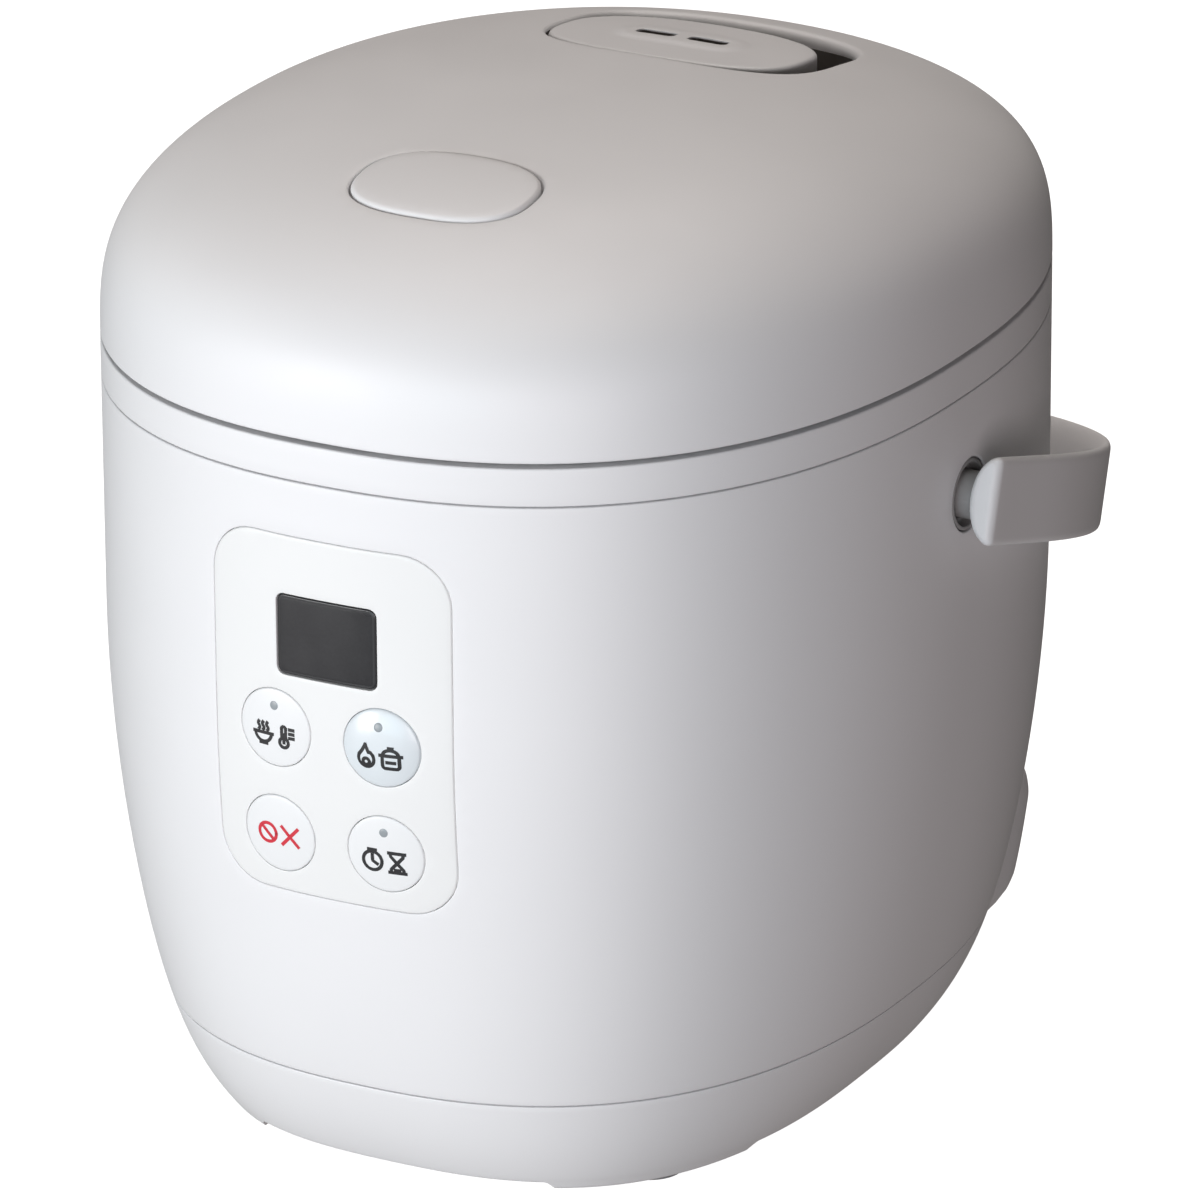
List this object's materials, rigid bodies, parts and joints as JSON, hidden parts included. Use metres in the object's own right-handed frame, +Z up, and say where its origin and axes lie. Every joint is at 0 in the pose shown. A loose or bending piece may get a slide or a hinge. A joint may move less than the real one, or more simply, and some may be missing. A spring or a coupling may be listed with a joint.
{
  "type": "rice cooker",
  "caption": "Small electric rice cooker: tapered oval body with a domed hinged lid, removable pot, steam vent, front control panel and a carrying bail.",
  "frame": {"origin": "centre of the footprint, bail included, on the surface the feet stand on", "axes": "+Z up, -Y towards the control panel, +X towards the side the power inlet is on"},
  "size_m": [0.1924, 0.2234, 0.2035],
  "materials": {
    "shell_white": "fine-grained matt white moulding",
    "inner_white": "smooth white moulding, out of sight when closed",
    "panel_white": "satin white control panel and buttons",
    "display_grey": "dark smoked display window",
    "cook_button": "pale blue-grey satin button",
    "led_window": "blue-grey light window",
    "dark_plastic": "black moulding",
    "board_green": "green circuit board",
    "pot_coating": "dark non-stick coating on pressed aluminium",
    "bare_aluminium": "cast and pressed aluminium",
    "steel": "bright steel",
    "seal_silicone": "translucent grey silicone",
    "foot_rubber": "grey rubber"
  },
  "bodies": {
    "body": {"body_shell": "shell_white", "upper_frame": "shell_white", "base": "shell_white", "hinge_pin": "steel", "inner_case": "steel", "heater_plate": "bare_aluminium", "heater_element": "steel", "sensor_tray": "steel", "thermal_fuse": "seal_silicone", "sensor_spring": "steel", "hinge_spring": "steel", "foot_pad_1": "foot_rubber", "foot_pad_2": "foot_rubber", "foot_pad_3": "foot_rubber", "foot_pad_4": "foot_rubber", "base_screw_1": "steel", "base_screw_2": "steel", "base_screw_3": "steel", "base_screw_4": "steel", "front_panel": "panel_white", "display_lens": "display_grey", "display_module": "dark_plastic", "control_board": "board_green", "inlet_housing": "shell_white", "inlet_socket": "dark_plastic", "power_board": "board_green", "transformer": "dark_plastic", "power_relay": "dark_plastic", "capacitor": "dark_plastic", "inlet_pin_1": "steel", "inlet_pin_2": "steel", "handle_bushing_left": "inner_white", "handle_bushing_right": "inner_white"},
    "lid": {"lid_shell": "shell_white", "lid_liner": "inner_white", "inner_lid": "steel", "lid_gasket": "seal_silicone", "steam_duct": "seal_silicone", "latch_pin": "steel", "latch_spring": "steel", "lid_button_spring": "steel"},
    "steam_vent": {"steam_cap": "shell_white", "steam_cap_cup": "inner_white", "steam_cap_seal": "seal_silicone"},
    "lid_release": {"lid_button": "shell_white"},
    "latch": {"lid_latch": "inner_white"},
    "sensor": {"sensor_cap": "bare_aluminium"},
    "pot": {"inner_pot": "pot_coating"},
    "handle": {"carry_handle": "shell_white", "handle_screw_left": "steel", "handle_screw_right": "steel"},
    "keep_warm_key": {"button_keep_warm": "panel_white", "led_window_keep_warm": "led_window"},
    "cook_key": {"button_cook": "cook_button", "led_window_cook": "led_window"},
    "cancel_key": {"button_cancel": "panel_white"},
    "timer_key": {"button_timer": "panel_white", "led_window_timer": "led_window"}
  },
  "joints": [
    {"name": "lid_hinge", "type": "hinge", "parent": "body", "child": "lid", "pos_m": [0, 0.0906, 0.1556], "axis": [-1, 0, 0], "range_deg": [0, 85]},
    {"name": "steam_cap_lift", "type": "slide", "parent": "lid", "child": "steam_vent", "axis": [0, 0, 1], "range_m": [0, 0.025]},
    {"name": "lid_button_press", "type": "slide", "parent": "lid", "child": "lid_release", "axis": [0, 0, -1], "range_m": [0, 0.0035], "stiffness_N_per_m": 600, "springref_m": -0.002, "deforming": ["lid_button_spring"]},
    {"name": "latch_turn", "type": "hinge", "parent": "lid", "child": "latch", "pos_m": [0, -0.0939, 0.1825], "axis": [-1, 0, 0], "range_deg": [0, 8]},
    {"name": "sensor_press", "type": "slide", "parent": "body", "child": "sensor", "axis": [0, 0, -1], "range_m": [0, 0.002], "stiffness_N_per_m": 400, "springref_m": -0.002, "deforming": ["sensor_spring"]},
    {"name": "pot_turn", "type": "hinge", "parent": "body", "child": "pot", "pos_m": [0, -0.0019, 0.11], "axis": [0, 0, 1], "continuous": true},
    {"name": "handle_swing", "type": "hinge", "parent": "body", "child": "handle", "pos_m": [0, -0.0059, 0.1323], "axis": [1, 0, 0], "range_deg": [0, 107]},
    {"name": "keep_warm_press", "type": "slide", "parent": "body", "child": "keep_warm_key", "axis": [0, 1, 0], "range_m": [0, 0.0008], "stiffness_N_per_m": 1500, "springref_m": -0.0003},
    {"name": "cook_press", "type": "slide", "parent": "body", "child": "cook_key", "axis": [0, 1, 0], "range_m": [0, 0.0008], "stiffness_N_per_m": 1500, "springref_m": -0.0003},
    {"name": "cancel_press", "type": "slide", "parent": "body", "child": "cancel_key", "axis": [0, 1, 0], "range_m": [0, 0.0008], "stiffness_N_per_m": 1500, "springref_m": -0.0003},
    {"name": "timer_press", "type": "slide", "parent": "body", "child": "timer_key", "axis": [0, 1, 0], "range_m": [0, 0.0008], "stiffness_N_per_m": 1500, "springref_m": -0.0003}
  ],
  "couplings": [
    {"joint": "latch_turn", "follows": "lid_button_press", "rad_per_m": 39.8}
  ]
}
